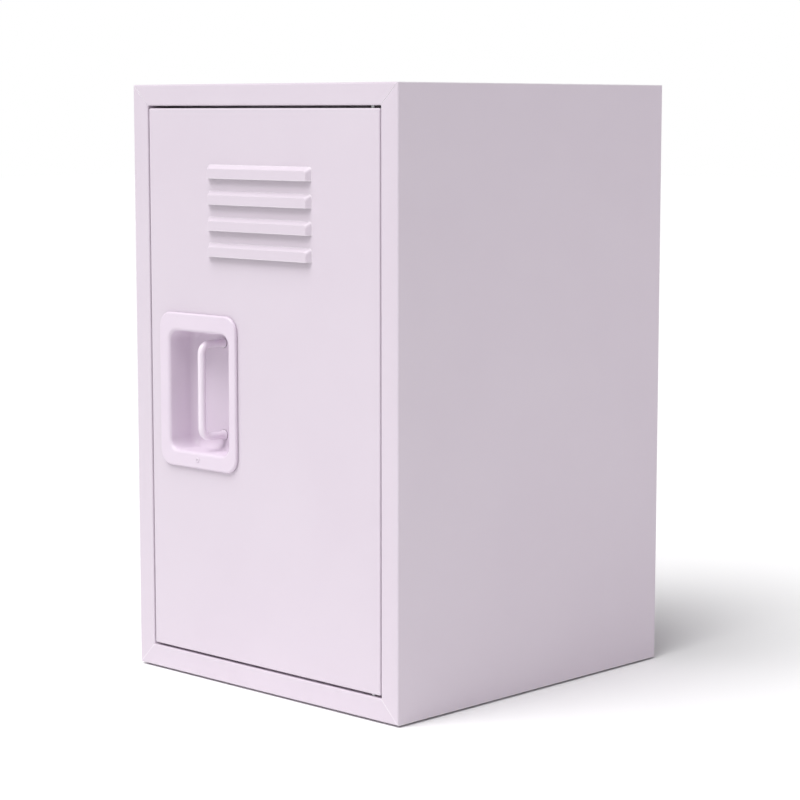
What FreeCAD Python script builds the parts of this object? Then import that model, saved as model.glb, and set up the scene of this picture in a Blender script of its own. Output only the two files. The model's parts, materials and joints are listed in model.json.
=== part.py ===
import FreeCAD, Part
import math
import os

# A compact one-door steel locker. Millimetres, +Z up, front facing -Y.
# The origin is under the middle of the whole object, on the floor.

Vector = FreeCAD.Vector

# Driving sizes of the cabinet.
WIDTH = 350.0
DEPTH = 366.0
HEIGHT = 560.0
SHEET = 0.8
BEND_INSIDE = 0.7
BEND_OUTSIDE = BEND_INSIDE + SHEET
FOOT_HEIGHT = 2.0
SIDE_FACE = 20.8
TOP_FACE = 19.7
BOTTOM_FACE = 20.8
JAMB_DEPTH = 23.5
STOP_LIP = 8.0
REAR_FLANGE = 14.0
RIVET_HEAD = 1.2

# Louvres pressed out of the door. They are what stands furthest forward.
LOUVRE_COUNT = 4
LOUVRE_PITCH = 24.0
LOUVRE_WIDTH = 138.0
LOUVRE_HEIGHT = 12.5
LOUVRE_FACE = 9.0
LOUVRE_PROUD = 4.8
LOUVRE_END_SLOPE = 3.5
LOUVRE_CORNER = 4.0
FIRST_LIP_BELOW_TOP = 86.2

# Planes that the rest is measured from.
SIDE = WIDTH / 2
FRONT = (LOUVRE_PROUD - DEPTH - RIVET_HEAD) / 2
BACK = FRONT + DEPTH
BASE = FOOT_HEIGHT
TOP = BASE + HEIGHT

# Door, flush with the frame around it.
LATCH_GAP = 1.7
HINGE_GAP = 1.2
TOP_GAP = 2.4
BOTTOM_GAP = 2.3
DOOR_DEPTH = 18.0
DOOR_RETURN = 12.0
DOOR_LEFT = SIDE_FACE + LATCH_GAP - SIDE
DOOR_RIGHT = SIDE - SIDE_FACE - HINGE_GAP
DOOR_TOP = TOP - TOP_FACE - TOP_GAP
DOOR_BOTTOM = BASE + BOTTOM_FACE + BOTTOM_GAP
DOOR_BACK = FRONT + DOOR_DEPTH

# Hinge line.
PIN_RADIUS = 2.0
PIN_RUNNING_GAP = 0.05
PIN_FROM_DOOR_EDGE = 12.0
PIN_BEHIND_FRONT = 5.0
PIN_X = DOOR_RIGHT - PIN_FROM_DOOR_EDGE
PIN_Y = FRONT + PIN_BEHIND_FRONT
PIN_REACH = 6.0
BRACKET_THICKNESS = 2.5
HINGE_PLATE_THICKNESS = 2.0
BUSH_RADIUS = 3.1
BUSH_FLANGE_RADIUS = 4.1
BUSH_LENGTH = 8.0

# Recessed handle, measured from the cabinet's left side and top.
HANDLE_X = 91.5 - SIDE
HANDLE_Z = TOP - 286.0
BEZEL_WIDTH = 106.6
BEZEL_HEIGHT = 146.2
BEZEL_CORNER = 14.5
BEZEL_PROUD = 3.75
CUP_CENTRE_X = 93.3 - SIDE
CUP_CENTRE_Z = TOP - 286.9
CUP_WIDTH = 82.0
CUP_HEIGHT = 113.2
CUP_CORNER = 10.0
CUP_DEPTH = 28.5
CUP_WALL = 2.0
CUP_RIM_ROUND = 3.4
CUT_OUT_SIDE_GAP = 2.0
CUT_OUT_END_GAP = 0.5
CUT_OUT_CORNER = 8.0
CUP_BACK_ROUND = 7.5
GRIP_RADIUS = 3.65
GRIP_HEIGHT = 95.3
GRIP_BEHIND_FRONT = 1.0
GRIP_CORNER = 9.0
GRIP_Z = TOP - 285.7
HANDLE_SCREW_Z = TOP - 350.5
HANDLE_SCREW_RADIUS = 1.4
HANDLE_SCREW_HEAD_RADIUS = 2.4
HANDLE_SCREW_HEAD_HEIGHT = 0.9
GRIP_SCREW_BITE = 12.0
HOOK_SPACING = 48.0
HOOK_WIDTH = 14.0
HOOK_REACH = 6.0
HOOK_THICKNESS = 2.4

# Inside fittings.
UPRIGHT_WIDTH = 16.0
UPRIGHT_DEPTH = 9.0
UPRIGHT_END_GAP = 14.0
FRONT_UPRIGHT_SETBACK = 62.0
REAR_UPRIGHT_SETBACK = 300.0
SLOT_PITCH = 25.0
SLOT_WIDTH = 3.0
SLOT_HEIGHT = 10.0
SLOTS = 17
FIRST_SLOT = BASE + 78.0
SHELF_SLOT = 8
SHELF_SKIRT = 15.0
SHELF_SETBACK = 40.0
CLEARANCE = 0.2
SCREW_GAP = 0.05


def at(plane, first, second, level):
    """A point given by its two coordinates in a plane, and its distance along the third axis."""
    if plane == "xy":
        return Vector(first, second, level)
    if plane == "yz":
        return Vector(level, first, second)
    return Vector(first, level, second)


def outline(plane, points, level):
    """A closed wire. A point is (first, second), or (first, second, radius) for a rounded corner."""
    stops = []
    for index, point in enumerate(points):
        corner = at(plane, point[0], point[1], level)
        radius = point[2] if len(point) > 2 else 0.0
        if radius == 0.0:
            stops.append((corner, None, corner))
            continue
        previous = points[index - 1]
        following = points[(index + 1) % len(points)]
        back = (at(plane, previous[0], previous[1], level) - corner).normalize()
        ahead = (at(plane, following[0], following[1], level) - corner).normalize()
        half_angle = back.getAngle(ahead) / 2
        inward = (back + ahead).normalize()
        start = corner + back * (radius / math.tan(half_angle))
        end = corner + ahead * (radius / math.tan(half_angle))
        middle = corner + inward * (radius / math.sin(half_angle) - radius)
        stops.append((start, middle, end))
    edges = []
    for index, (start, middle, end) in enumerate(stops):
        previous_end = stops[index - 1][2]
        if previous_end.distanceToPoint(start) > 1e-6:
            edges.append(Part.makeLine(previous_end, start))
        if middle is not None:
            edges.append(Part.Arc(start, middle, end).toShape())
    return Part.Wire(edges)


def prism(plane, points, start, end):
    """A flat outline made solid from one level to another."""
    return Part.Face(outline(plane, points, start)).extrude(at(plane, 0, 0, end - start))


def fold(path):
    """The outline of a sheet bent along a path. The sheet lies to the left of the path."""
    headings = []
    for here, there in zip(path, path[1:]):
        length = math.hypot(there[0] - here[0], there[1] - here[1])
        headings.append(((there[0] - here[0]) / length, (there[1] - here[1]) / length))
    skin = []
    inner = []
    for index, (first, second) in enumerate(path):
        before = headings[max(index - 1, 0)]
        after = headings[min(index, len(headings) - 1)]
        turn = before[0] * after[1] - before[1] * after[0]
        share = SHEET / (1 + before[0] * after[0] + before[1] * after[1])
        shifted = (first - (before[1] + after[1]) * share, second + (before[0] + after[0]) * share)
        skin_radius = 0.0
        inner_radius = 0.0
        if turn > 0:
            skin_radius = BEND_OUTSIDE
            inner_radius = BEND_INSIDE
        if turn < 0:
            skin_radius = BEND_INSIDE
            inner_radius = BEND_OUTSIDE
        skin.append((first, second, skin_radius))
        inner.append((shifted[0], shifted[1], inner_radius))
    return skin + inner[::-1]


def rectangle(centre_a, centre_b, width, height, radius=0.0):
    """Corner points of a rectangle about a centre, with rounded corners if a radius is given."""
    a = width / 2
    b = height / 2
    signs = ((-1, -1), (1, -1), (1, 1), (-1, 1))
    return [(centre_a + i * a, centre_b + j * b, radius) for i, j in signs]


def box(x_range, y_range, z_range):
    """A plain block between two corners."""
    size = (x_range[1] - x_range[0], y_range[1] - y_range[0], z_range[1] - z_range[0])
    return Part.makeBox(size[0], size[1], size[2], Vector(x_range[0], y_range[0], z_range[0]))


def rod(radius, start, end):
    """A round bar from one point to another."""
    direction = Vector(*end) - Vector(*start)
    return Part.makeCylinder(radius, direction.Length, Vector(*start), direction)


def rounded(shape, radius, chosen):
    """The shape with every edge rounded for which the test on the edge is true."""
    return shape.makeFillet(radius, [edge for edge in shape.Edges if chosen(edge)])


def lies_at_y(piece, level):
    """True if a whole edge or face lies in the plane at this Y."""
    return abs(piece.BoundBox.YMin - level) < 1e-6 and abs(piece.BoundBox.YMax - level) < 1e-6


def mirrored_x(shape):
    """The left-hand twin of a right-hand piece."""
    return shape.mirror(Vector(0, 0, 0), Vector(1, 0, 0))


def dome_head(radius, height, base, outward):
    """A low round head standing on a base point, with its rim rounded over."""
    head = Part.makeCylinder(radius, height, base, outward)
    far = base + outward * height
    softening = min(height * 0.8, radius * 0.5)
    return rounded(head, softening, lambda edge: edge.CenterOfMass.distanceToPoint(far) < 1e-3)


# The shell: two sides, top and bottom, each one bent sheet, meeting at mitred corners.

def side_sheet():
    """The right side in plan: stop lip, jamb, front face, side and rear flange, full height."""
    opening = SIDE - SIDE_FACE
    stop = FRONT + JAMB_DEPTH
    path = [(opening - STOP_LIP, stop), (opening, stop), (opening, FRONT), (SIDE, FRONT),
            (SIDE, BACK), (SIDE - REAR_FLANGE, BACK)]
    return prism("xy", fold(path), BASE, TOP)


def side_region():
    """The part of the front view that the right side fills, bounded by the two mitre lines."""
    reach = 2 * SIDE_FACE
    inner = SIDE - reach
    return prism("xz", [(SIDE, BASE), (SIDE, TOP), (inner, TOP - 2 * TOP_FACE),
                        (inner, BASE + 2 * BOTTOM_FACE)], FRONT - 1, BACK + 1)


def make_side():
    """The right side panel, cut to the mitre lines."""
    panel = side_sheet().common(side_region())
    for height in rivet_heights():
        panel = panel.cut(rivet_hole(SIDE - REAR_FLANGE / 2, height))
    return panel


def make_top():
    """The top panel. A fine groove shows where its front face meets the sides."""
    stop = FRONT + JAMB_DEPTH
    edge = TOP - TOP_FACE
    lip = STOP_LIP * TOP_FACE / SIDE_FACE
    path = [(BACK, TOP - REAR_FLANGE), (BACK, TOP), (FRONT, TOP), (FRONT, edge), (stop, edge),
            (stop, edge - lip)]
    panel = prism("yz", fold(path), -SIDE, SIDE)
    inner = SIDE - 2 * SIDE_FACE
    low = TOP - 2 * TOP_FACE
    region = [(-SIDE, TOP), (SIDE, TOP), (inner, low), (-inner, low)]
    panel = panel.common(prism("xz", region, FRONT - 1, BACK + 1))
    seam_width = 0.45
    seam_depth = 0.5
    seam = prism("xz", [(SIDE, TOP), (SIDE - SIDE_FACE, edge), (SIDE - SIDE_FACE - seam_width, edge),
                        (SIDE - seam_width, TOP)], FRONT - 1, FRONT + seam_depth)
    panel = panel.cut(seam).cut(mirrored_x(seam))
    panel = panel.cut(rod(PIN_RADIUS + CLEARANCE, (PIN_X, PIN_Y, edge - 1), (PIN_X, PIN_Y, edge + 2)))
    for x in rivet_columns():
        panel = panel.cut(rivet_hole(x, TOP - REAR_FLANGE / 2))
    return panel


def make_bottom():
    """The floor of the cabinet with the frame's lower face, its jamb and stop lip."""
    stop = FRONT + JAMB_DEPTH
    edge = BASE + BOTTOM_FACE
    path = [(stop, edge + STOP_LIP), (stop, edge), (FRONT, edge), (FRONT, BASE), (BACK, BASE),
            (BACK, BASE + REAR_FLANGE)]
    panel = prism("yz", fold(path), -SIDE, SIDE)
    inner = SIDE - 2 * SIDE_FACE
    high = BASE + 2 * BOTTOM_FACE
    region = [(-SIDE, BASE), (SIDE, BASE), (inner, high), (-inner, high)]
    panel = panel.common(prism("xz", region, FRONT - 1, BACK + 1))
    panel = panel.cut(rod(PIN_RADIUS + CLEARANCE, (PIN_X, PIN_Y, edge - 2), (PIN_X, PIN_Y, edge + 1)))
    for x in rivet_columns():
        panel = panel.cut(rivet_hole(x, BASE + REAR_FLANGE / 2))
    return panel


# Back panel and the rivets that hold it inside the rear flanges.

RIVET_RADIUS = 1.6
BACK_PANEL_GAP = 2.2
WALL_HOLE_RADIUS = 3.25
WALL_HOLE_SPACING = 250.0
WALL_HOLE_BELOW_TOP = 45.0


def rivet_heights():
    """Heights of the rivets up each side."""
    return [BASE + HEIGHT * share for share in (0.12, 0.5, 0.88)]


def rivet_columns():
    """Sideways positions of the rivets along the top and the bottom."""
    return [-WIDTH * 0.22, WIDTH * 0.22]


def rivet_places():
    """Every rivet's place on the back, as (x, z)."""
    sides = [(sign * (SIDE - REAR_FLANGE / 2), z) for sign in (-1, 1) for z in rivet_heights()]
    ends = [(x, z) for x in rivet_columns() for z in (BASE + REAR_FLANGE / 2, TOP - REAR_FLANGE / 2)]
    return sides + ends


def rivet_hole(x, z):
    """A cutter for one rivet hole through flange and back panel."""
    return rod(RIVET_RADIUS + SCREW_GAP, (x, BACK - 3 * SHEET, z), (x, BACK + 1, z))


def make_back():
    """The flat back with its rivet holes and two wall-fixing holes."""
    half = SIDE - BACK_PANEL_GAP
    panel = box((-half, half), (BACK - 2 * SHEET, BACK - SHEET),
                (BASE + BACK_PANEL_GAP, TOP - BACK_PANEL_GAP))
    for x, z in rivet_places():
        panel = panel.cut(rivet_hole(x, z))
    for sign in (-1, 1):
        x = sign * WALL_HOLE_SPACING / 2
        z = TOP - WALL_HOLE_BELOW_TOP
        panel = panel.cut(rod(WALL_HOLE_RADIUS, (x, BACK - 5, z), (x, BACK + 5, z)))
    return panel


def make_back_rivets():
    """Blind rivets: a domed head outside and an upset end inside."""
    outward = Vector(0, 1, 0)
    rivets = []
    for x, z in rivet_places():
        shank = rod(RIVET_RADIUS, (x, BACK - 2 * SHEET, z), (x, BACK, z))
        head = dome_head(RIVET_RADIUS * 2.1, RIVET_HEAD, Vector(x, BACK, z), outward)
        upset = dome_head(RIVET_RADIUS * 1.4, 2.0, Vector(x, BACK - 2 * SHEET, z), -outward)
        rivets.append(shank.fuse([head, upset]).removeSplitter())
    return Part.makeCompound(rivets)


# Hinge brackets welded behind the jambs, and the two pins that they hold.

def hinge_bracket(low):
    """A thick plate beside the jamb that carries a hinge pin."""
    plate = box((PIN_X - 22, SIDE - SIDE_FACE - 1), (FRONT + BEND_OUTSIDE, FRONT + JAMB_DEPTH - 2),
                (low, low + BRACKET_THICKNESS))
    return plate.cut(rod(PIN_RADIUS + 0.02, (PIN_X, PIN_Y, low - 1), (PIN_X, PIN_Y, low + 5)))


def hinge_pin(plate_far_side, tip, direction):
    """A headed pin: the head rests on the bracket's far side and the tip is chamfered."""
    up = Vector(0, 0, direction)
    base = Vector(PIN_X, PIN_Y, plate_far_side)
    length = abs(tip - plate_far_side)
    shank = Part.makeCylinder(PIN_RADIUS, length, base, up)
    end = base + up * length
    near_end = [edge for edge in shank.Edges if edge.CenterOfMass.distanceToPoint(end) < 1e-3]
    shank = shank.makeChamfer(0.5, near_end)
    head = Part.makeCylinder(3.6, 1.8, base - up * 1.8, up)
    return shank.fuse(head).removeSplitter()


UPPER_JAMB_INSIDE = TOP - TOP_FACE + SHEET
LOWER_JAMB_INSIDE = BASE + BOTTOM_FACE - SHEET


def make_hinge_pin_upper():
    """The upper pin drops in from above and reaches down into the door's upper bush."""
    return hinge_pin(UPPER_JAMB_INSIDE + BRACKET_THICKNESS, DOOR_TOP - PIN_REACH, -1)


def make_hinge_pin_lower():
    """The lower pin is riveted in its bracket and reaches up into the door's lower bush."""
    return hinge_pin(LOWER_JAMB_INSIDE - BRACKET_THICKNESS, DOOR_BOTTOM + PIN_REACH, 1)


def hinge_bush(outer_face, inward, bore_depth):
    """A moulded bush, flush with the door's edge, with a flange inside the door."""
    into = Vector(0, 0, inward)
    base = Vector(PIN_X, PIN_Y, outer_face)
    sleeve = SHEET + HINGE_PLATE_THICKNESS
    body = Part.makeCylinder(BUSH_RADIUS, BUSH_LENGTH, base, into)
    flange = Part.makeCylinder(BUSH_FLANGE_RADIUS, BUSH_LENGTH - sleeve, base + into * sleeve, into)
    bore = Part.makeCylinder(PIN_RADIUS + PIN_RUNNING_GAP, bore_depth, base, into)
    return body.fuse(flange).removeSplitter().cut(bore)


def make_hinge_bush_upper():
    """The upper bush is open right through."""
    return hinge_bush(DOOR_TOP, -1, BUSH_LENGTH)


def make_hinge_bush_lower():
    """The lower bush is blind: the door's weight rests on the pin's tip."""
    return hinge_bush(DOOR_BOTTOM, 1, PIN_REACH + 0.3)


def hinge_plate(low):
    """A thick plate inside the door's edge that holds a bush."""
    plate = box((PIN_X - 24, DOOR_RIGHT - BEND_OUTSIDE), (FRONT + BEND_OUTSIDE, DOOR_BACK - BEND_OUTSIDE),
                (low, low + HINGE_PLATE_THICKNESS))
    return plate.cut(rod(BUSH_RADIUS + 0.02, (PIN_X, PIN_Y, low - 1), (PIN_X, PIN_Y, low + 4)))


# The door: a pan with returned edges, pressed louvres and a cut-out for the handle.

def door_pan():
    """The folded pan before it is pierced."""
    outer = box((DOOR_LEFT, DOOR_RIGHT), (FRONT, DOOR_BACK), (DOOR_BOTTOM, DOOR_TOP))
    outer = rounded(outer, BEND_OUTSIDE, lambda edge: edge.BoundBox.YMin < DOOR_BACK - 1e-3)
    inner = box((DOOR_LEFT + SHEET, DOOR_RIGHT - SHEET), (FRONT + SHEET, DOOR_BACK - SHEET),
                (DOOR_BOTTOM + SHEET, DOOR_TOP - SHEET))
    inner = rounded(inner, BEND_INSIDE, lambda edge: edge.BoundBox.YMin < DOOR_BACK - SHEET - 1e-3)
    opening = box((DOOR_LEFT + DOOR_RETURN, DOOR_RIGHT - DOOR_RETURN), (DOOR_BACK - 3 * SHEET, DOOR_BACK + 1),
                  (DOOR_BOTTOM + DOOR_RETURN, DOOR_TOP - DOOR_RETURN))
    return outer.cut(inner).cut(opening)


def hood_body(lip, inset, foot):
    """The space of a louvre hood: sloped top and ends, rounded shoulders and a flat face."""
    half = LOUVRE_WIDTH / 2 - inset
    face_half = LOUVRE_WIDTH / 2 - LOUVRE_END_SLOPE - inset / 2
    top = lip + LOUVRE_HEIGHT - inset
    face_top = lip + LOUVRE_FACE - inset / 2
    face = FRONT - LOUVRE_PROUD + inset
    body = Part.makeWedge(-face_half, face, foot, foot, -half, face_half, FRONT, face_top, top, half)
    return rounded(body, LOUVRE_CORNER - inset,
                   lambda edge: edge.BoundBox.YLength > 1 and edge.BoundBox.ZMin > lip + 1)


def hood(lip):
    """One pressed hood as a thin shell, open at its root and along its lower lip."""
    nose = FRONT - LOUVRE_PROUD
    outer = hood_body(lip, 0.0, lip)
    outer = rounded(outer, 1.2, lambda edge: lies_at_y(edge, nose) and edge.BoundBox.ZMax > lip + 1e-3)
    return outer.cut(hood_body(lip, SHEET, lip - 2))


def hood_slot(lip):
    """The hole in the flat sheet behind a hood, with the outline of the hood's hollow."""
    root = [face for face in hood_body(lip, SHEET, lip).Faces if lies_at_y(face, FRONT)][0]
    return root.extrude(Vector(0, SHEET + 1, 0))


def louvre_lips():
    """Heights of the louvres' lower lips, from the top one down."""
    return [TOP - FIRST_LIP_BELOW_TOP - index * LOUVRE_PITCH for index in range(LOUVRE_COUNT)]


def with_louvres(panel):
    """The door pierced behind every louvre and joined to the hoods."""
    for lip in louvre_lips():
        panel = panel.cut(hood_slot(lip))
        panel = panel.fuse(hood(lip))
    return panel.removeSplitter()


def make_door():
    """The finished door panel."""
    panel = with_louvres(door_pan())
    hole = rectangle(CUP_CENTRE_X, CUP_CENTRE_Z, CUP_WIDTH + 2 * CUP_WALL + 2 * CUT_OUT_SIDE_GAP,
                     CUP_HEIGHT + 2 * CUP_WALL + 2 * CUT_OUT_END_GAP, CUT_OUT_CORNER)
    panel = panel.cut(prism("xz", hole, FRONT - 1, FRONT + 2))
    panel = panel.cut(rod(HANDLE_SCREW_RADIUS + SCREW_GAP, (HANDLE_X, FRONT - 1, HANDLE_SCREW_Z),
                          (HANDLE_X, FRONT + 2, HANDLE_SCREW_Z)))
    bush_hole = BUSH_RADIUS + 0.02
    panel = panel.cut(rod(bush_hole, (PIN_X, PIN_Y, DOOR_TOP - 2), (PIN_X, PIN_Y, DOOR_TOP + 1)))
    return panel.cut(rod(bush_hole, (PIN_X, PIN_Y, DOOR_BOTTOM - 1), (PIN_X, PIN_Y, DOOR_BOTTOM + 2)))


def make_door_stiffener():
    """An upright hat section spot-welded inside the door, between the handle and the hinges."""
    foot = 10.0
    crown = 20.0
    rise = 12.0
    centre = SIDE / 2 + 12.0
    skin = FRONT + 2 * SHEET
    path = [(centre + crown / 2 + foot, skin), (centre + crown / 2, skin),
            (centre + crown / 2, skin + rise), (centre - crown / 2, skin + rise),
            (centre - crown / 2, skin), (centre - crown / 2 - foot, skin)]
    end_gap = DOOR_RETURN + 4.0
    return prism("xy", fold(path), DOOR_BOTTOM + end_gap, DOOR_TOP - end_gap)


# The recessed handle.

def cup_cavity():
    """The hollow of the handle, rounded in its corners and all round its back."""
    back = FRONT + CUP_DEPTH
    hollow = prism("xz", rectangle(CUP_CENTRE_X, CUP_CENTRE_Z, CUP_WIDTH, CUP_HEIGHT, CUP_CORNER),
                   FRONT - BEZEL_PROUD - 1, back)
    return rounded(hollow, CUP_BACK_ROUND, lambda edge: lies_at_y(edge, back))


def grip_leg_heights():
    """Heights of the two legs of the grip."""
    half = GRIP_HEIGHT / 2 - GRIP_RADIUS
    return [GRIP_Z - half, GRIP_Z + half]


def make_handle_cup():
    """The moulded bezel and cup, with two hooks behind the door sheet at the upper edge."""
    bezel = prism("xz", rectangle(HANDLE_X, HANDLE_Z, BEZEL_WIDTH, BEZEL_HEIGHT, BEZEL_CORNER),
                  FRONT - BEZEL_PROUD, FRONT)
    bezel = rounded(bezel, BEZEL_PROUD * 0.7, lambda edge: lies_at_y(edge, FRONT - BEZEL_PROUD))
    shell = prism("xz", rectangle(CUP_CENTRE_X, CUP_CENTRE_Z, CUP_WIDTH + 2 * CUP_WALL,
                                  CUP_HEIGHT + 2 * CUP_WALL, CUP_CORNER + CUP_WALL),
                  FRONT - 1, FRONT + CUP_DEPTH + CUP_WALL)
    shell_back = FRONT + CUP_DEPTH + CUP_WALL
    shell = rounded(shell, CUP_BACK_ROUND, lambda edge: lies_at_y(edge, shell_back))
    cup = bezel.fuse(shell).removeSplitter().cut(cup_cavity())
    mouth = [edge for edge in cup.Edges if lies_at_y(edge, FRONT - BEZEL_PROUD)
             and abs(edge.CenterOfMass.x - CUP_CENTRE_X) < CUP_WIDTH / 2 + 0.1
             and abs(edge.CenterOfMass.z - CUP_CENTRE_Z) < CUP_HEIGHT / 2 + 0.1]
    cup = cup.makeFillet(CUP_RIM_ROUND, mouth)
    hook_root = CUP_CENTRE_Z + CUP_HEIGHT / 2 + CUP_WALL
    hook_front = FRONT + SHEET + CLEARANCE
    for sign in (-1, 1):
        x = CUP_CENTRE_X + sign * HOOK_SPACING / 2
        cup = cup.fuse(box((x - HOOK_WIDTH / 2, x + HOOK_WIDTH / 2),
                           (hook_front, hook_front + HOOK_THICKNESS),
                           (hook_root - 1, hook_root + HOOK_REACH)))
    for z in grip_leg_heights():
        cup = cup.cut(rod(HANDLE_SCREW_RADIUS + SCREW_GAP, (CUP_CENTRE_X, FRONT + 10, z),
                          (CUP_CENTRE_X, FRONT + 40, z)))
    return cup.cut(rod(HANDLE_SCREW_RADIUS + SCREW_GAP, (HANDLE_X, FRONT - 10, HANDLE_SCREW_Z),
                       (HANDLE_X, FRONT + 1, HANDLE_SCREW_Z)))


def make_grip_bar():
    """A round bar bent into a D: an upright grip with a leg at each end, screwed to the cup's back."""
    low, high = grip_leg_heights()
    front = FRONT + GRIP_BEHIND_FRONT
    back = FRONT + CUP_DEPTH
    turn = GRIP_CORNER * (1 - math.sqrt(0.5))
    x = CUP_CENTRE_X
    upper_turn = Part.Arc(Vector(x, front + GRIP_CORNER, high), Vector(x, front + turn, high - turn),
                          Vector(x, front, high - GRIP_CORNER))
    lower_turn = Part.Arc(Vector(x, front, low + GRIP_CORNER), Vector(x, front + turn, low + turn),
                          Vector(x, front + GRIP_CORNER, low))
    spine = Part.Wire([Part.makeLine(Vector(x, back, high), Vector(x, front + GRIP_CORNER, high)),
                       upper_turn.toShape(),
                       Part.makeLine(Vector(x, front, high - GRIP_CORNER),
                                     Vector(x, front, low + GRIP_CORNER)),
                       lower_turn.toShape(),
                       Part.makeLine(Vector(x, front + GRIP_CORNER, low), Vector(x, back, low))])
    section = Part.Wire(Part.makeCircle(GRIP_RADIUS, Vector(x, back, high), Vector(0, -1, 0)))
    bar = spine.makePipeShell([section], True, True)
    for z in (low, high):
        bar = bar.cut(rod(HANDLE_SCREW_RADIUS + SCREW_GAP, (x, back - GRIP_SCREW_BITE - 1, z),
                          (x, back + 1, z)))
    return bar


def make_grip_screws():
    """Two screws through the back of the cup into the legs of the grip."""
    back = FRONT + CUP_DEPTH + CUP_WALL
    outward = Vector(0, 1, 0)
    screws = []
    for z in grip_leg_heights():
        shank = rod(HANDLE_SCREW_RADIUS, (CUP_CENTRE_X, back - CUP_WALL - GRIP_SCREW_BITE, z),
                    (CUP_CENTRE_X, back, z))
        head = dome_head(3.2, 2.0, Vector(CUP_CENTRE_X, back, z), outward)
        screws.append(shank.fuse(head).removeSplitter())
    return Part.makeCompound(screws)


def make_handle_screw():
    """The small domed screw in the lower strip of the bezel."""
    face = FRONT - BEZEL_PROUD
    shank = rod(HANDLE_SCREW_RADIUS, (HANDLE_X, face, HANDLE_SCREW_Z), (HANDLE_X, FRONT + 5, HANDLE_SCREW_Z))
    head = dome_head(HANDLE_SCREW_HEAD_RADIUS, HANDLE_SCREW_HEAD_HEIGHT,
                     Vector(HANDLE_X, face, HANDLE_SCREW_Z), Vector(0, -1, 0))
    return shank.fuse(head).removeSplitter()


def make_handle_nut():
    """The flat spring nut behind the door sheet that the bezel's screw bites into."""
    back = FRONT + SHEET
    plate = box((HANDLE_X - 7, HANDLE_X + 7), (back, back + 1.0), (HANDLE_SCREW_Z - 5, HANDLE_SCREW_Z + 3))
    collar = Part.makeCylinder(2.6, 2.0, Vector(HANDLE_X, back, HANDLE_SCREW_Z), Vector(0, 1, 0))
    nut = plate.fuse(collar).removeSplitter()
    return nut.cut(rod(HANDLE_SCREW_RADIUS + SCREW_GAP, (HANDLE_X, FRONT, HANDLE_SCREW_Z),
                       (HANDLE_X, FRONT + 10, HANDLE_SCREW_Z)))


# Inside: slotted uprights, shelf and its clips.

UPRIGHT_FACE = SIDE - SHEET - UPRIGHT_DEPTH


def slot_height(index):
    """Middle height of a slot, counted from the lowest."""
    return FIRST_SLOT + index * SLOT_PITCH


def make_upright(setback):
    """A slotted channel on the right side, its legs welded to the side panel."""
    near = FRONT + setback
    far = near + UPRIGHT_WIDTH
    wall = SIDE - SHEET
    path = [(wall, far), (UPRIGHT_FACE, far), (UPRIGHT_FACE, near), (wall, near)]
    upright = prism("xy", fold(path), BASE + UPRIGHT_END_GAP, TOP - UPRIGHT_END_GAP)
    middle = (near + far) / 2
    slots = [box((UPRIGHT_FACE - 1, UPRIGHT_FACE + 2), (middle - SLOT_WIDTH / 2, middle + SLOT_WIDTH / 2),
                 (slot_height(index) - SLOT_HEIGHT / 2, slot_height(index) + SLOT_HEIGHT / 2))
             for index in range(SLOTS)]
    return upright.cut(Part.makeCompound(slots))


SHELF_REST = slot_height(SHELF_SLOT) + 4.0
SHELF_TOP = SHELF_REST + SHELF_SKIRT
CLIP_PLATE = 1.5


def make_shelf_clips():
    """Four clips: a tongue in the slot, a plate on the upright and a ledge under the shelf."""
    clips = []
    for setback in (FRONT_UPRIGHT_SETBACK, REAR_UPRIGHT_SETBACK):
        middle = FRONT + setback + UPRIGHT_WIDTH / 2
        centre = slot_height(SHELF_SLOT)
        inner = UPRIGHT_FACE - CLIP_PLATE
        plate = box((inner, UPRIGHT_FACE), (middle - 6, middle + 6), (centre - 7, SHELF_REST))
        tongue_half = SLOT_WIDTH / 2 - CLEARANCE
        tongue = box((UPRIGHT_FACE - 1, UPRIGHT_FACE + 3), (middle - tongue_half, middle + tongue_half),
                     (centre - 4.5, centre + 2))
        ledge = box((inner - 12, inner + 1), (middle - 6, middle + 6), (SHELF_REST - CLIP_PLATE, SHELF_REST))
        clip = plate.fuse([tongue, ledge]).removeSplitter()
        clips += [clip, mirrored_x(clip)]
    return Part.makeCompound(clips)


def make_shelf():
    """A shelf with a skirt folded down on all four sides."""
    half = UPRIGHT_FACE - CLIP_PLATE - CLEARANCE
    near = FRONT + SHELF_SETBACK
    far = BACK - 6.0
    outer = box((-half, half), (near, far), (SHELF_REST, SHELF_TOP))
    outer = rounded(outer, BEND_OUTSIDE, lambda edge: edge.BoundBox.ZMax > SHELF_REST + 1e-3)
    inner = box((-half + SHEET, half - SHEET), (near + SHEET, far - SHEET),
                (SHELF_REST - 1, SHELF_TOP - SHEET))
    inner = rounded(inner, BEND_INSIDE, lambda edge: edge.BoundBox.ZMax > SHELF_REST)
    return outer.cut(inner)


# Magnetic catch and bumpers on the latch side's stop lip, and the feet.

CATCH_HEIGHT = 60.0
CATCH_GAP = 0.4
LIP_MIDDLE = -(SIDE - SIDE_FACE - STOP_LIP / 2)
CATCH_FRONT = DOOR_BACK + CATCH_GAP
STOP_FACE = FRONT + JAMB_DEPTH
CATCH_SCREW_OFFSETS = (-CATCH_HEIGHT * 0.38, CATCH_HEIGHT * 0.38)
CATCH_SCREW_RADIUS = 1.2
CATCH_RECESS_RADIUS = 2.4
CATCH_RECESS_DEPTH = 2.0
CATCH_WIDTH = 6.8
MAGNET_HEIGHT = 30.0
MAGNET_WIDTH = 3.6
MAGNET_DEPTH = 3.5


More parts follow.
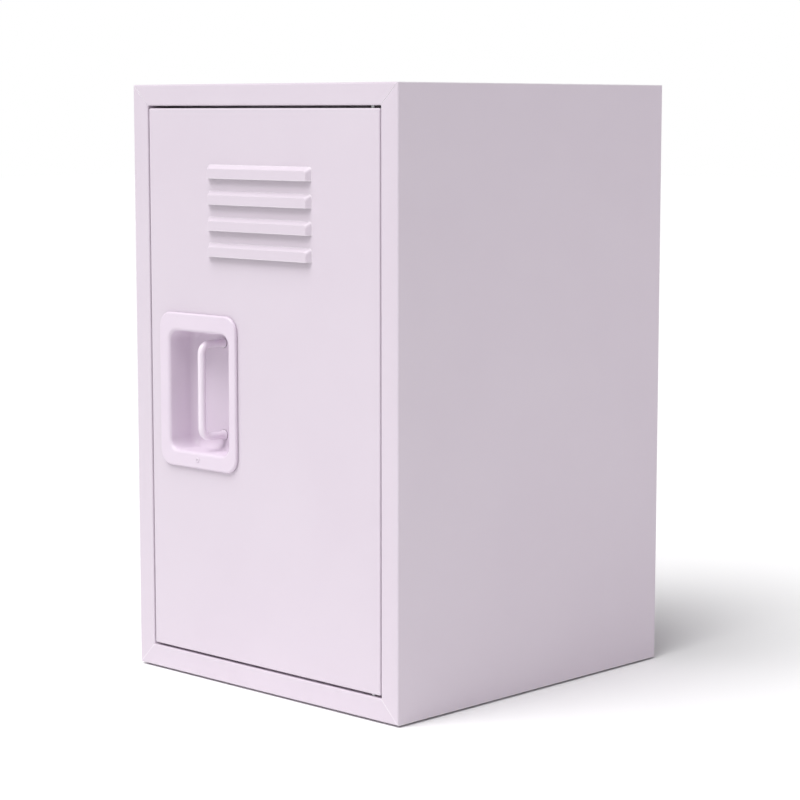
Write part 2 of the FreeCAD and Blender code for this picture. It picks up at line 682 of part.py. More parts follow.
def make_catch_housing():
    """The moulded block of the magnetic catch, on the front of the stop lip."""
    block = box((LIP_MIDDLE - CATCH_WIDTH / 2, LIP_MIDDLE + CATCH_WIDTH / 2), (CATCH_FRONT, STOP_FACE),
                (HANDLE_Z - CATCH_HEIGHT / 2, HANDLE_Z + CATCH_HEIGHT / 2))
    block = rounded(block, 0.8, lambda edge: lies_at_y(edge, CATCH_FRONT))
    block = block.cut(magnet_block(CLEARANCE / 2))
    for offset in CATCH_SCREW_OFFSETS:
        z = HANDLE_Z + offset
        block = block.cut(rod(CATCH_SCREW_RADIUS + SCREW_GAP, (LIP_MIDDLE, FRONT, z),
                              (LIP_MIDDLE, STOP_FACE + 1, z)))
        block = block.cut(rod(CATCH_RECESS_RADIUS, (LIP_MIDDLE, FRONT, z),
                              (LIP_MIDDLE, CATCH_FRONT + CATCH_RECESS_DEPTH, z)))
    return block


def magnet_block(growth):
    """The magnet's space, optionally a little larger all round."""
    half_width = MAGNET_WIDTH / 2 + growth
    half_height = MAGNET_HEIGHT / 2 + growth
    return box((LIP_MIDDLE - half_width, LIP_MIDDLE + half_width),
               (CATCH_FRONT, CATCH_FRONT + MAGNET_DEPTH + growth),
               (HANDLE_Z - half_height, HANDLE_Z + half_height))


def make_catch_screws():
    """The two screws that hold the catch to the stop lip."""
    screws = []
    for offset in CATCH_SCREW_OFFSETS:
        z = HANDLE_Z + offset
        seat = CATCH_FRONT + CATCH_RECESS_DEPTH
        shank = rod(CATCH_SCREW_RADIUS, (LIP_MIDDLE, seat, z), (LIP_MIDDLE, STOP_FACE + 4, z))
        head = dome_head(2.2, 1.3, Vector(LIP_MIDDLE, seat, z), Vector(0, -1, 0))
        screws.append(shank.fuse(head).removeSplitter())
    return Part.makeCompound(screws)


def catch_screw_holes():
    """Cutters for the catch's screws in the stop lip of the left side."""
    holes = []
    for offset in CATCH_SCREW_OFFSETS:
        z = HANDLE_Z + offset
        holes.append(rod(CATCH_SCREW_RADIUS + SCREW_GAP, (LIP_MIDDLE, STOP_FACE - 1, z),
                         (LIP_MIDDLE, STOP_FACE + 3, z)))
    return Part.makeCompound(holes)


def make_door_bumpers():
    """Two rubber pads that the closed door comes to rest against."""
    radius = 3.2
    from_end = 40.0
    forward = Vector(0, -1, 0)
    pads = []
    for z in (DOOR_BOTTOM + from_end, DOOR_TOP - from_end):
        pads.append(dome_head(radius, STOP_FACE - CATCH_FRONT, Vector(LIP_MIDDLE, STOP_FACE, z), forward))
    return Part.makeCompound(pads)


def make_rubber_feet():
    """Four thin round pads under the corners."""
    inset = 28.0
    radius = 11.0
    feet = []
    for x in (-SIDE + inset, SIDE - inset):
        for y in (FRONT + inset, BACK - inset):
            pad = Part.makeCylinder(radius, FOOT_HEIGHT, Vector(x, y, 0))
            feet.append(rounded(pad, 0.6, lambda edge: edge.BoundBox.ZMax < 1e-6))
    return Part.makeCompound(feet)


PIECES = {
    "side_panel_right": make_side(),
    "side_panel_left": mirrored_x(make_side()).cut(catch_screw_holes()),
    "top_panel": make_top(),
    "bottom_panel": make_bottom(),
    "back_panel": make_back(),
    "back_rivets": make_back_rivets(),
    "upright_front_right": make_upright(FRONT_UPRIGHT_SETBACK),
    "upright_front_left": mirrored_x(make_upright(FRONT_UPRIGHT_SETBACK)),
    "upright_rear_right": make_upright(REAR_UPRIGHT_SETBACK),
    "upright_rear_left": mirrored_x(make_upright(REAR_UPRIGHT_SETBACK)),
    "shelf": make_shelf(),
    "shelf_clips": make_shelf_clips(),
    "hinge_bracket_upper": hinge_bracket(UPPER_JAMB_INSIDE),
    "hinge_bracket_lower": hinge_bracket(LOWER_JAMB_INSIDE - BRACKET_THICKNESS),
    "hinge_pin_upper": make_hinge_pin_upper(),
    "hinge_pin_lower": make_hinge_pin_lower(),
    "catch_housing": make_catch_housing(),
    "catch_magnet": magnet_block(0.0),
    "catch_screws": make_catch_screws(),
    "door_bumpers": make_door_bumpers(),
    "rubber_feet": make_rubber_feet(),
    "door_panel": make_door(),
    "door_stiffener": make_door_stiffener(),
    "hinge_plate_upper": hinge_plate(DOOR_TOP - SHEET - HINGE_PLATE_THICKNESS),
    "hinge_plate_lower": hinge_plate(DOOR_BOTTOM + SHEET),
    "hinge_bush_upper": make_hinge_bush_upper(),
    "hinge_bush_lower": make_hinge_bush_lower(),
    "handle_cup": make_handle_cup(),
    "grip_bar": make_grip_bar(),
    "grip_screws": make_grip_screws(),
    "handle_screw": make_handle_screw(),
    "handle_nut": make_handle_nut(),
}

os.makedirs("parts", exist_ok=True)
for name, shape in PIECES.items():
    shape.exportStep("parts/" + name + ".step")
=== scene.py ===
import json
import math

import bmesh
import bpy
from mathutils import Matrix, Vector


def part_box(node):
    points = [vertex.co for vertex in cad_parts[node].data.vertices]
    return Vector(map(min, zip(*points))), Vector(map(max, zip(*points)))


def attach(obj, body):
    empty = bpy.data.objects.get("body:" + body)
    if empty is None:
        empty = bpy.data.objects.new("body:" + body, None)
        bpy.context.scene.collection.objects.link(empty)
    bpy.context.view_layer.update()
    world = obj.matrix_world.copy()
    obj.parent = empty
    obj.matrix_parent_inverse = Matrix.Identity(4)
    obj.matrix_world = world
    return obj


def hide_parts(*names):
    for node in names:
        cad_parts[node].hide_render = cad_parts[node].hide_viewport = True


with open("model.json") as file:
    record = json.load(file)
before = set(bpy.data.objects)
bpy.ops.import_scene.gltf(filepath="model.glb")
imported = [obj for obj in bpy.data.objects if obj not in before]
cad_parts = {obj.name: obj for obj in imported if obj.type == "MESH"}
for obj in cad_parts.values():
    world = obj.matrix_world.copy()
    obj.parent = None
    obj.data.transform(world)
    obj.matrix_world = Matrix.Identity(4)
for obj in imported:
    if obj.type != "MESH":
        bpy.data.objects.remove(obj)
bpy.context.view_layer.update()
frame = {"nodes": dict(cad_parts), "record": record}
NODES = frame["nodes"]
SIDE_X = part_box("side_panel_right")[1][0]

# Colours of the finishes, linear.
LILAC_COAT = (0.690, 0.616, 0.690)
LILAC_COAT_SHADE = (0.676, 0.600, 0.676)
LILAC_PLASTIC = (0.745, 0.655, 0.750)
LILAC_PLASTIC_SHADE = (0.725, 0.632, 0.732)
# Painted light: the grip is the handle's plastic drawn lighter, as where it stands lit at the front of
# its cup.
PAINTED_LIT_GRIP = (0.850, 0.765, 0.850)
PAINTED_LIT_GRIP_DARKER = (0.832, 0.745, 0.835)
# Painted highlight: the lighter colour laid along edges where the surface turns.
EDGE_HIGHLIGHT_COLOUR = (0.93, 0.90, 0.93, 1.0)
ZINC = (0.60, 0.60, 0.61)
ZINC_SHADE = (0.46, 0.46, 0.48)
NYLON = (0.80, 0.79, 0.76)
NYLON_SHADE = (0.74, 0.73, 0.69)
RUBBER = (0.020, 0.020, 0.022)
RUBBER_SHADE = (0.032, 0.032, 0.034)
MAGNET = (0.16, 0.16, 0.17)
MAGNET_SHADE = (0.11, 0.11, 0.12)

# The stretch of a pattern, whose values run from 0 to 1, over which each effect changes.
TONE_FROM = 0.32
TONE_TO = 0.68
ROUGHNESS_FROM = 0.3
ROUGHNESS_TO = 0.7
# Over the next stretch of a pattern the painted edge highlight is broken up.
HIGHLIGHT_BREAK_FROM = 0.25
HIGHLIGHT_BREAK_TO = 0.60

# Painted edge highlights: edges drawn lighter, as if catching the light, and smoother. The two cosines
# are between the real normal and the softened one.
EDGE_SAMPLES = 6
EDGE_STARTS = 0.995
EDGE_IN_FULL = 0.90
FAINTEST_HIGHLIGHT = 0.35
EDGE_ROUGHNESS_CHANGE = -0.22

# Powder coat: patterns in waves per metre, depths and widths in metres.
COAT_DRIFT = 9.0
COAT_PEEL = 620.0
COAT_WAVE = 5.0
# Breakup of the painted edge highlight.
COAT_HIGHLIGHT_BREAKS = 70.0
PEEL_DEPTH = 0.000035
COAT_EDGE_WIDTH = 0.0012
# Strength of the painted edge highlight.
COAT_EDGE_HIGHLIGHT = 0.75
COAT_SMOOTHEST = 0.40
COAT_ROUGHEST = 0.50
COAT_SPECULAR = 0.45

# Moulded plastic.
PLASTIC_DRIFT = 22.0
PLASTIC_GRAIN = 1500.0
PLASTIC_SINK = 34.0
# Breakup of the painted edge highlight.
PLASTIC_HIGHLIGHT_BREAKS = 90.0
SINK_DEPTH = 0.00008
PLASTIC_EDGE_WIDTH = 0.0010
# Strength of the painted edge highlight.
PLASTIC_EDGE_HIGHLIGHT = 0.85
PLASTIC_SMOOTHER = 0.03
PLASTIC_ROUGHER = 0.05

# Plated steel.
PLATE_DRIFT = 160.0
PLATE_STREAKS = 300.0
STREAK_STRETCH = 14.0
STREAK_DEPTH = 0.00002
PLATE_SMOOTHEST = 0.26
PLATE_ROUGHEST = 0.42

# Rubber.
RUBBER_BLOOM = 120.0
RUBBER_GRAIN = 2200.0
RUBBER_GRAIN_DEPTH = 0.00004
RUBBER_SMOOTHEST = 0.70
RUBBER_ROUGHEST = 0.85


def new_material(name):
    """An empty material, with its shader and the object's own coordinates."""
    material = bpy.data.materials.new(name)
    material.use_nodes = True
    nodes = material.node_tree.nodes
    shader = nodes["Principled BSDF"]
    place = nodes.new("ShaderNodeTexCoord")
    return material, nodes, material.node_tree.links, shader, place


def noise(nodes, links, place, scale, detail):
    """A noise pattern fixed to the piece. Scale is in waves per metre, detail in finer layers."""
    pattern = nodes.new("ShaderNodeTexNoise")
    pattern.inputs["Scale"].default_value = scale
    pattern.inputs["Detail"].default_value = detail
    links.new(place.outputs["Object"], pattern.inputs["Vector"])
    return pattern


def tinted(nodes, links, pattern, light, dark, shader):
    """Base colour that drifts between two close tones."""
    ramp = nodes.new("ShaderNodeValToRGB")
    ramp.color_ramp.elements[0].position = TONE_FROM
    ramp.color_ramp.elements[0].color = (*dark, 1.0)
    ramp.color_ramp.elements[1].position = TONE_TO
    ramp.color_ramp.elements[1].color = (*light, 1.0)
    links.new(pattern.outputs["Fac"], ramp.inputs["Fac"])
    links.new(ramp.outputs["Color"], shader.inputs["Base Color"])


def varied_roughness(nodes, links, pattern, low, high, shader):
    """Roughness that wanders between two values."""
    span = nodes.new("ShaderNodeMapRange")
    span.inputs["From Min"].default_value = ROUGHNESS_FROM
    span.inputs["From Max"].default_value = ROUGHNESS_TO
    span.inputs["To Min"].default_value = low
    span.inputs["To Max"].default_value = high
    links.new(pattern.outputs["Fac"], span.inputs["Value"])
    links.new(span.outputs["Result"], shader.inputs["Roughness"])


def bumped(nodes, links, layers, shader):
    """Relief from several patterns, each given with its depth in metres."""
    below = None
    for pattern, depth in layers:
        bump = nodes.new("ShaderNodeBump")
        bump.inputs["Strength"].default_value = 1.0
        bump.inputs["Distance"].default_value = depth
        links.new(pattern.outputs["Fac"], bump.inputs["Height"])
        if below is not None:
            links.new(below.outputs["Normal"], bump.inputs["Normal"])
        below = bump
    links.new(below.outputs["Normal"], shader.inputs["Normal"])


def painted_edge_highlights(nodes, links, pattern, shader, reach, highlight_amount):
    """Painted edge highlights: a little lighter and smoother wherever the surface turns, broken up by a
    pattern.
    """
    softened = nodes.new("ShaderNodeBevel")
    softened.samples = EDGE_SAMPLES
    softened.inputs["Radius"].default_value = reach
    surface = nodes.new("ShaderNodeNewGeometry")
    agreement = nodes.new("ShaderNodeVectorMath")
    agreement.operation = "DOT_PRODUCT"
    links.new(softened.outputs["Normal"], agreement.inputs[0])
    links.new(surface.outputs["Normal"], agreement.inputs[1])
    turned = nodes.new("ShaderNodeMapRange")
    turned.inputs["From Min"].default_value = EDGE_STARTS
    turned.inputs["From Max"].default_value = EDGE_IN_FULL
    links.new(agreement.outputs["Value"], turned.inputs["Value"])
    broken = nodes.new("ShaderNodeMapRange")
    broken.inputs["From Min"].default_value = HIGHLIGHT_BREAK_FROM
    broken.inputs["From Max"].default_value = HIGHLIGHT_BREAK_TO
    broken.inputs["To Min"].default_value = FAINTEST_HIGHLIGHT * highlight_amount
    broken.inputs["To Max"].default_value = highlight_amount
    links.new(pattern.outputs["Fac"], broken.inputs["Value"])
    mask = nodes.new("ShaderNodeMath")
    mask.operation = "MULTIPLY"
    links.new(turned.outputs["Result"], mask.inputs[0])
    links.new(broken.outputs["Result"], mask.inputs[1])
    colour = nodes.new("ShaderNodeMix")
    colour.data_type = "RGBA"
    colour.inputs["B"].default_value = EDGE_HIGHLIGHT_COLOUR
    links.new(mask.outputs["Value"], colour.inputs["Factor"])
    links.new(shader.inputs["Base Color"].links[0].from_socket, colour.inputs["A"])
    links.new(colour.outputs["Result"], shader.inputs["Base Color"])
    smoother = nodes.new("ShaderNodeMath")
    smoother.operation = "MULTIPLY_ADD"
    smoother.inputs[1].default_value = EDGE_ROUGHNESS_CHANGE
    links.new(mask.outputs["Value"], smoother.inputs[0])
    links.new(shader.inputs["Roughness"].links[0].from_socket, smoother.inputs[2])
    links.new(smoother.outputs["Value"], shader.inputs["Roughness"])


def powder_coat(name, light, dark, ripple):
    """Satin powder coat: orange peel over a sheet that isn't perfectly flat, with painted highlights
    along its edges.
    """
    material, nodes, links, shader, place = new_material(name)
    drift = noise(nodes, links, place, COAT_DRIFT, 3.0)
    peel = noise(nodes, links, place, COAT_PEEL, 2.0)
    sheet = noise(nodes, links, place, COAT_WAVE, 1.0)
    tinted(nodes, links, drift, light, dark, shader)
    varied_roughness(nodes, links, peel, COAT_SMOOTHEST, COAT_ROUGHEST, shader)
    bumped(nodes, links, [(sheet, ripple), (peel, PEEL_DEPTH)], shader)
    # Painted highlights along the edges, broken up by this pattern.
    highlight_breakup = noise(nodes, links, place, COAT_HIGHLIGHT_BREAKS, 3.0)
    painted_edge_highlights(nodes, links, highlight_breakup, shader, COAT_EDGE_WIDTH, COAT_EDGE_HIGHLIGHT)
    shader.inputs["Specular IOR Level"].default_value = COAT_SPECULAR
    return material


def moulded_plastic(name, light, dark, roughness, grain):
    """Injection-moulded plastic with a faint grain, slight sink marks and painted highlights along its
    edges.
    """
    material, nodes, links, shader, place = new_material(name)
    drift = noise(nodes, links, place, PLASTIC_DRIFT, 2.0)
    fine = noise(nodes, links, place, PLASTIC_GRAIN, 2.0)
    sink = noise(nodes, links, place, PLASTIC_SINK, 1.0)
    tinted(nodes, links, drift, light, dark, shader)
    smoothest = roughness - PLASTIC_SMOOTHER
    varied_roughness(nodes, links, drift, smoothest, roughness + PLASTIC_ROUGHER, shader)
    bumped(nodes, links, [(sink, SINK_DEPTH), (fine, grain)], shader)
    # Painted highlights along the edges, broken up by this pattern.
    highlight_breakup = noise(nodes, links, place, PLASTIC_HIGHLIGHT_BREAKS, 3.0)
    painted_edge_highlights(nodes, links, highlight_breakup, shader, PLASTIC_EDGE_WIDTH, PLASTIC_EDGE_HIGHLIGHT)
    return material


def plated_steel(name, light, dark):
    """Zinc or nickel plate with fine brushed streaks."""
    material, nodes, links, shader, place = new_material(name)
    stretch = nodes.new("ShaderNodeMapping")
    stretch.inputs["Scale"].default_value = (1.0, 1.0, STREAK_STRETCH)
    links.new(place.outputs["Object"], stretch.inputs["Vector"])
    drift = noise(nodes, links, place, PLATE_DRIFT, 3.0)
    streaks = noise(nodes, links, place, PLATE_STREAKS, 3.0)
    links.new(stretch.outputs["Vector"], streaks.inputs["Vector"])
    tinted(nodes, links, drift, light, dark, shader)
    varied_roughness(nodes, links, streaks, PLATE_SMOOTHEST, PLATE_ROUGHEST, shader)
    bumped(nodes, links, [(streaks, STREAK_DEPTH)], shader)
    shader.inputs["Metallic"].default_value = 1.0
    return material


def soft_rubber(name):
    """Matt rubber with a dusty bloom."""
    material, nodes, links, shader, place = new_material(name)
    bloom = noise(nodes, links, place, RUBBER_BLOOM, 4.0)
    grain = noise(nodes, links, place, RUBBER_GRAIN, 2.0)
    tinted(nodes, links, bloom, RUBBER_SHADE, RUBBER, shader)
    varied_roughness(nodes, links, bloom, RUBBER_SMOOTHEST, RUBBER_ROUGHEST, shader)
    bumped(nodes, links, [(grain, RUBBER_GRAIN_DEPTH)], shader)
    return material


def finishes():
    """The procedural material of every material slot in the record."""
    return {
        "shell_paint": powder_coat("shell_powder_coat", LILAC_COAT, LILAC_COAT_SHADE, 0.0006),
        "door_paint": powder_coat("door_powder_coat", LILAC_COAT, LILAC_COAT_SHADE, 0.0005),
        "inside_paint": powder_coat("inside_powder_coat", LILAC_COAT, LILAC_COAT_SHADE, 0.0003),
        "handle_plastic": moulded_plastic("handle_moulding", LILAC_PLASTIC, LILAC_PLASTIC_SHADE,
                                          0.36, 0.000012),
        # Painted light: the grip's plastic drawn lighter than the handle's.
        "grip_plastic": moulded_plastic("grip_moulding_painted_lit", PAINTED_LIT_GRIP, PAINTED_LIT_GRIP_DARKER, 0.30, 0.00001),
        "screw_cap": powder_coat("screw_coat", LILAC_PLASTIC, LILAC_PLASTIC_SHADE, 0.0),
        "zinc_steel": plated_steel("zinc_plate", ZINC, ZINC_SHADE),
        "bush_nylon": moulded_plastic("bush_nylon", NYLON, NYLON_SHADE, 0.45, 0.00002),
        "catch_plastic": moulded_plastic("catch_moulding", NYLON, NYLON_SHADE, 0.38, 0.00002),
        "magnet_metal": plated_steel("magnet_plate", MAGNET, MAGNET_SHADE),
        "soft_rubber": soft_rubber("black_rubber"),
    }


def dress_nodes(materials):
    """Gives every carried-over CAD node the finish of its slot."""
    slot_of = {entry["node"]: entry["material_slot"] for entry in frame["record"]["subparts"]}
    for name, node in NODES.items():
        node.data.materials.clear()
        node.data.materials.append(materials[slot_of[name]])


# The handle, rebuilt as smooth mouldings. All sizes in metres.

SHEET = 0.0008
BEZEL_CORNER = 0.0145
BEZEL_EDGE = 0.0020
BEZEL_UNDERCUT = 0.0006
STRIP_LEFT = 0.0141
STRIP_RIGHT = 0.0105
STRIP_TOP = 0.0174
STRIP_BOTTOM = 0.0156
OPENING_CORNER = 0.010
RIM_ROUND = 0.0034
CUP_BACK_ROUND = 0.0075
CUP_WALL = 0.002
HOOK_SPACING = 0.048
HOOK_WIDTH = 0.014
HOOK_REACH = 0.006
HOOK_THICKNESS = 0.0024
HOOK_GAP = 0.0002
HOOK_ROOT = 0.001
HOOK_EASE = 0.0004
CORNER_STEPS = 10
ROUND_STEPS = 6
EVEN_NORMALS_WEIGHT = 80


def placed(name, data):
    """A new object in the scene that holds this data."""
    thing = bpy.data.objects.new(name, data)
    bpy.context.scene.collection.objects.link(thing)
    return thing


def mesh_piece(name, bm, material, body, slot, *replaced):
    """Turns a finished bmesh into a shown piece that rides on a body and replaces CAD nodes."""
    bmesh.ops.recalc_face_normals(bm, faces=bm.faces)
    mesh = bpy.data.meshes.new(name)
    bm.to_mesh(mesh)
    bm.free()
    for face in mesh.polygons:
        face.use_smooth = True
    mesh.materials.append(material)
    piece = placed(name, mesh)
    evened = piece.modifiers.new("even_normals", "WEIGHTED_NORMAL")
    evened.weight = EVEN_NORMALS_WEIGHT
    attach(piece, body)
    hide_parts(*replaced)


def rounded_ring(bm, edges, radius, y):
    """Vertices round a rounded rectangle in the plane at this Y. Edges are (left, right, low, high)."""
    left, right, low, high = edges
    centres = [(right - radius, high - radius, 0.0), (left + radius, high - radius, 90.0),
               (left + radius, low + radius, 180.0), (right - radius, low + radius, 270.0)]
    ring = []
    for x, z, start in centres:
        for step in range(CORNER_STEPS + 1):
            angle = math.radians(start + 90.0 * step / CORNER_STEPS)
            ring.append(bm.verts.new((x + radius * math.cos(angle), y, z + radius * math.sin(angle))))
    return ring


def grown(edges, amount):
    """The rectangle pushed out on all four sides."""
    return (edges[0] - amount, edges[1] + amount, edges[2] - amount, edges[3] + amount)


def bridge(bm, first, second):
    """A band of faces between two rings of the same count."""
    count = len(first)
    for index in range(count):
        after = (index + 1) % count
        bm.faces.new((first[index], first[after], second[after], second[index]))


def skin(bm, rings):
    """Bands of faces from each ring to the next."""
    for before, after in zip(rings, rings[1:]):
        bridge(bm, before, after)


def closed_tube(bm, rings):
    """A skin over the rings with a cap at either end."""
    skin(bm, rings)
    bm.faces.new(rings[0])
    bm.faces.new(rings[-1])


def quarter(steps):
    """Sine and cosine along a quarter turn, both ends included."""
    turns = [math.pi / 2 * step / steps for step in range(steps + 1)]
    return [(math.sin(turn), math.cos(turn)) for turn in turns]


def add_block(bm, low, high):
    """A small block inside a moulding, with its edges eased."""
    made = bmesh.ops.create_cube(bm, size=1.0)
    for vertex in made["verts"]:
        for axis in range(3):
            middle = (low[axis] + high[axis]) / 2
            vertex.co[axis] = middle + vertex.co[axis] * (high[axis] - low[axis])
    edges = list({edge for vertex in made["verts"] for edge in vertex.link_edges})
    bmesh.ops.bevel(bm, geom=edges, offset=HOOK_EASE, segments=2, affect="EDGES", profile=0.5)


def handle_moulding(material):
    """Bezel and cup in one: rounded outer edge, soft rim, straight walls and a rounded back."""
    low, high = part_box("handle_cup")
    face = low[1]
    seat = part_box("handle_nut")[0][1] - SHEET
    back = high[1]
    outer = (low[0], high[0], low[2], high[2])
    opening = (low[0] + STRIP_LEFT, high[0] - STRIP_RIGHT, low[2] + STRIP_BOTTOM, high[2] - STRIP_TOP)
    inner_back = back - CUP_WALL
    bm = bmesh.new()
    rings = [rounded_ring(bm, grown(outer, -BEZEL_UNDERCUT), BEZEL_CORNER - BEZEL_UNDERCUT, seat),
             rounded_ring(bm, grown(outer, -BEZEL_UNDERCUT), BEZEL_CORNER - BEZEL_UNDERCUT,
                          seat - BEZEL_UNDERCUT),
             rounded_ring(bm, outer, BEZEL_CORNER, seat - BEZEL_UNDERCUT)]
    for rise, run in quarter(ROUND_STEPS):
        inset = BEZEL_EDGE * (1 - run)
        rings.append(rounded_ring(bm, grown(outer, -inset), BEZEL_CORNER - inset,
                                  face + BEZEL_EDGE * (1 - rise)))
    for rise, run in quarter(ROUND_STEPS):
        spread = RIM_ROUND * (1 - rise)
        rings.append(rounded_ring(bm, grown(opening, spread), OPENING_CORNER + spread,
                                  face + RIM_ROUND * (1 - run)))
    for rise, run in quarter(ROUND_STEPS):
        inset = CUP_BACK_ROUND * (1 - run)
        rings.append(rounded_ring(bm, grown(opening, -inset), OPENING_CORNER - inset,
                                  inner_back - CUP_BACK_ROUND * (1 - rise)))
    shell = grown(opening, CUP_WALL)
    outside = []
    for rise, run in quarter(ROUND_STEPS):
        inset = CUP_BACK_ROUND * (1 - run)
        outside.append(rounded_ring(bm, grown(shell, -inset), OPENING_CORNER + CUP_WALL - inset,
                                    back - CUP_BACK_ROUND * (1 - rise)))
    outside.insert(0, rounded_ring(bm, shell, OPENING_CORNER + CUP_WALL, seat))
    skin(bm, rings)
    skin(bm, outside)
    bridge(bm, rings[0], outside[0])
    bm.faces.new(rings[-1])
    bm.faces.new(outside[-1])
    hook_front = seat + SHEET + HOOK_GAP
    for sign in (-1, 1):
        x = (shell[0] + shell[1]) / 2 + sign * HOOK_SPACING / 2
        add_block(bm, (x - HOOK_WIDTH / 2, hook_front, shell[3] - HOOK_ROOT),
                  (x + HOOK_WIDTH / 2, hook_front + HOOK_THICKNESS, shell[3] + HOOK_REACH))
    mesh_piece("handle_moulding", bm, material, "door", "handle_plastic", "handle_cup")


GRIP_TURN = 0.009
GRIP_SIDES = 28
ROOT_FLARE = 0.0016
ROOT_LENGTH = 0.004
ROOT_STATIONS = (0.0, 0.2, 0.5, 1.0)


def grip_path(front, back, low, high):
    """The grip's centre line in the YZ plane with its heading: root, turn, upright, turn, root."""
    root = [back - ROOT_LENGTH * share for share in ROOT_STATIONS]
    points = [(y, high, -1.0, 0.0) for y in root]
    for rise, run in quarter(CORNER_STEPS):
        points.append((front + GRIP_TURN * (1 - rise), high - GRIP_TURN * (1 - run), -run, -rise))
    for rise, run in quarter(CORNER_STEPS):
        points.append((front + GRIP_TURN * (1 - run), low + GRIP_TURN * (1 - rise), rise, -run))
    points += [(y, low, 1.0, 0.0) for y in reversed(root)]
    return points


def pull_grip(material):
    """The round D-shaped grip, its legs flaring where they meet the cup."""
    low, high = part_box("grip_bar")
    radius = (high[0] - low[0]) / 2
    x = (low[0] + high[0]) / 2
    bm = bmesh.new()
    rings = []
    path = grip_path(low[1] + radius, high[1], low[2] + radius, high[2] - radius)
    for y, z, heading_y, heading_z in path:
        near = max(0.0, 1.0 - (high[1] - y) / ROOT_LENGTH)
        width = radius + ROOT_FLARE * near * near
        ring = []
        for side in range(GRIP_SIDES):
            angle = math.tau * side / GRIP_SIDES
            across = width * math.cos(angle)
            along = width * math.sin(angle)
            ring.append(bm.verts.new((x + across, y - heading_z * along, z + heading_y * along)))
        rings.append(ring)
    closed_tube(bm, rings)
    mesh_piece("pull_grip", bm, material, "door", "grip_plastic", "grip_bar")


# The bezel screw's profile: widths as shares of the head's radius, heights as shares of its height.
RECESS_FLOOR_WIDTH = 0.40
RECESS_MOUTH_WIDTH = 0.44
CROWN_WIDTH = 0.50
NECK_WIDTH = 0.80
SHANK_WIDTH = 0.55
RECESS_FLOOR_HEIGHT = 0.9
RECESS_MOUTH_HEIGHT = 0.1
SHOULDER_HEIGHT = 0.75
NECK_DEPTH = 0.0005


def bezel_screw(material):
    """The small domed screw in the bezel's lower strip, with a round recess."""
    low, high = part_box("handle_screw")
    radius = (high[0] - low[0]) / 2
    x = (low[0] + high[0]) / 2
    z = (low[2] + high[2]) / 2
    crown = low[1]
    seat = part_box("handle_cup")[0][1]
    height = seat - crown
    bm = bmesh.new()
    shoulder = height * SHOULDER_HEIGHT
    profile = [(radius * RECESS_FLOOR_WIDTH, crown + height * RECESS_FLOOR_HEIGHT),
               (radius * RECESS_MOUTH_WIDTH, crown + height * RECESS_MOUTH_HEIGHT)]
    profile += [(radius * (CROWN_WIDTH + (1 - CROWN_WIDTH) * rise), crown + shoulder * (1 - run))
                for rise, run in quarter(ROUND_STEPS)]
    profile.append((radius * NECK_WIDTH, seat))
    profile.append((radius * SHANK_WIDTH, seat + NECK_DEPTH))
    profile.append((radius * SHANK_WIDTH, high[1]))
    rings = []
    for reach, y in profile:
        rings.append([bm.verts.new((x + reach * math.cos(math.tau * side / GRIP_SIDES), y,
                                    z + reach * math.sin(math.tau * side / GRIP_SIDES)))
                      for side in range(GRIP_SIDES)])
    closed_tube(bm, rings)
    mesh_piece("bezel_screw", bm, material, "door", "screw_cap", "handle_screw")


# The studio. Strengths as Blender takes them, angles in degrees, places in metres.
STUDIO_WHITE = (1.0, 1.0, 1.0, 1.0)
GLOW_TINT = (0.985, 0.97, 1.0, 1.0)
GLOW_STRENGTH = 0.30
SKY_STRENGTH = 2.9
SKY_SPREAD = 44.0
SKY_TILT = (27.0, -3.0)
CABINET_MIDDLE = (0.0, 0.0, 0.28)
FLOOR_HALF = 14.0
FLOOR_TONE = (0.97, 0.97, 0.97)
FLOOR_SHADE = (0.96, 0.96, 0.96)
CAMERA_PLACE = (1.5533, -1.6097, 0.5370)
CAMERA_TURN = 43.925
CAMERA_PITCH = -7.085
CAMERA_LENS = 104.48
CAMERA_SENSOR = 36.0


def aim(thing, target):
    """Turns a light so that it faces a point."""
    direction = Vector(target) - thing.location
    thing.rotation_euler = direction.to_track_quat("-Z", "Y").to_euler()


def soft_light(name, place, target, size, watts, colour):
    """A large soft box."""
    data = bpy.data.lights.new(name, "AREA")
    data.shape = "RECTANGLE"
    data.size = size[0]
    data.size_y = size[1]
    data.energy = watts
    data.color = colour
    box = placed(name, data)
    box.location = place
    aim(box, target)


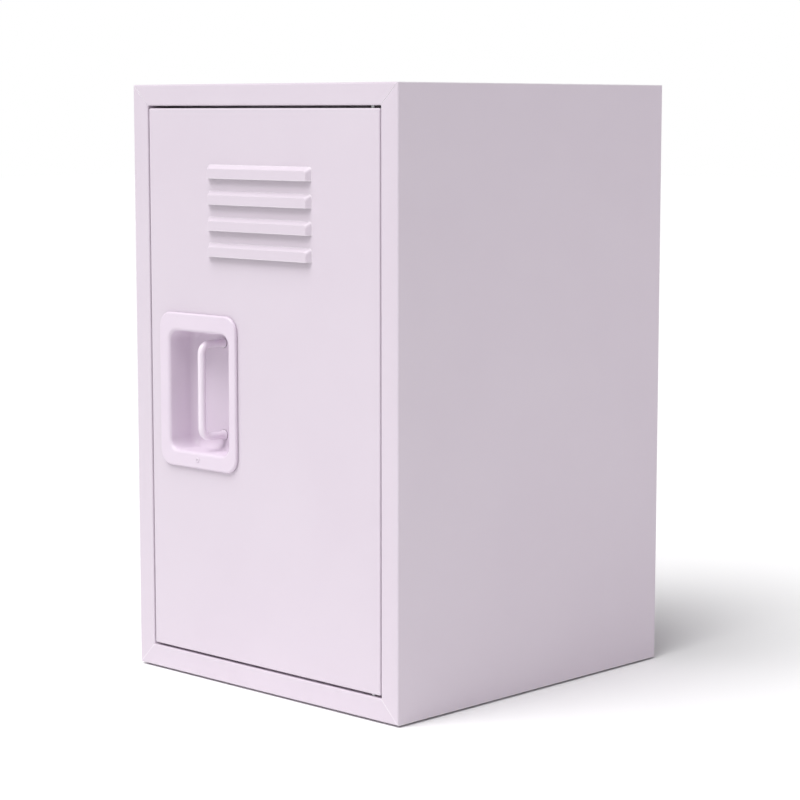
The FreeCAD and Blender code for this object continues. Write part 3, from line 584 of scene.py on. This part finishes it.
def studio():
    """White surroundings, a key from the front left, a low fill at the right and a wide sky light."""
    world = bpy.data.worlds.new("studio")
    bpy.context.scene.world = world
    world.use_nodes = True
    nodes = world.node_tree.nodes
    links = world.node_tree.links
    backdrop = nodes["Background"]
    backdrop.inputs["Color"].default_value = STUDIO_WHITE
    backdrop.inputs["Strength"].default_value = 1.0
    glow = nodes.new("ShaderNodeBackground")
    glow.inputs["Color"].default_value = GLOW_TINT
    glow.inputs["Strength"].default_value = GLOW_STRENGTH
    path = nodes.new("ShaderNodeLightPath")
    choice = nodes.new("ShaderNodeMixShader")
    links.new(path.outputs["Is Camera Ray"], choice.inputs["Fac"])
    links.new(glow.outputs["Background"], choice.inputs[1])
    links.new(backdrop.outputs["Background"], choice.inputs[2])
    links.new(choice.outputs["Shader"], nodes["World Output"].inputs["Surface"])
    soft_light("key_light", place=(-1.9, -2.7, 2.3), target=CABINET_MIDDLE, size=(2.2, 1.8),
               watts=9.0, colour=(1.0, 1.0, 1.0))
    soft_light("low_fill", place=(1.6, 0.1, 0.12), target=(SIDE_X, 0.0, 0.05), size=(1.4, 0.3),
               watts=2.2, colour=(1.0, 0.99, 1.0))
    data = bpy.data.lights.new("sky_light", "SUN")
    data.energy = SKY_STRENGTH
    data.angle = math.radians(SKY_SPREAD)
    sky = placed("sky_light", data)
    sky.rotation_euler = (math.radians(SKY_TILT[0]), math.radians(SKY_TILT[1]), 0.0)


def floor():
    """A plain pale floor."""
    mesh = bpy.data.meshes.new("studio_floor")
    corners = [(FLOOR_HALF * x, FLOOR_HALF * y, 0) for x, y in ((-1, -1), (1, -1), (1, 1), (-1, 1))]
    mesh.from_pydata(corners, [], [(0, 1, 2, 3)])
    plane = placed("studio_floor", mesh)
    material, nodes, links, shader, place = new_material("pale_floor")
    drift = noise(nodes, links, place, 2.0, 2.0)
    tinted(nodes, links, drift, FLOOR_TONE, FLOOR_SHADE, shader)
    varied_roughness(nodes, links, drift, 0.85, 0.9, shader)
    mesh.materials.append(material)


def camera():
    """The view of the right-hand front corner, from a little below the cabinet's top."""
    data = bpy.data.cameras.new("photo_camera")
    data.sensor_width = CAMERA_SENSOR
    data.lens = CAMERA_LENS
    view = placed("photo_camera", data)
    view.location = CAMERA_PLACE
    pitch = math.radians(CAMERA_PITCH)
    view.rotation_euler = (math.radians(90.0) + pitch, 0.0, math.radians(CAMERA_TURN))
    bpy.context.scene.camera = view


materials = finishes()
dress_nodes(materials)
handle_moulding(materials["handle_plastic"])
pull_grip(materials["grip_plastic"])
bezel_screw(materials["screw_cap"])
studio()
floor()
camera()
bpy.context.scene.view_settings.view_transform = "Standard"
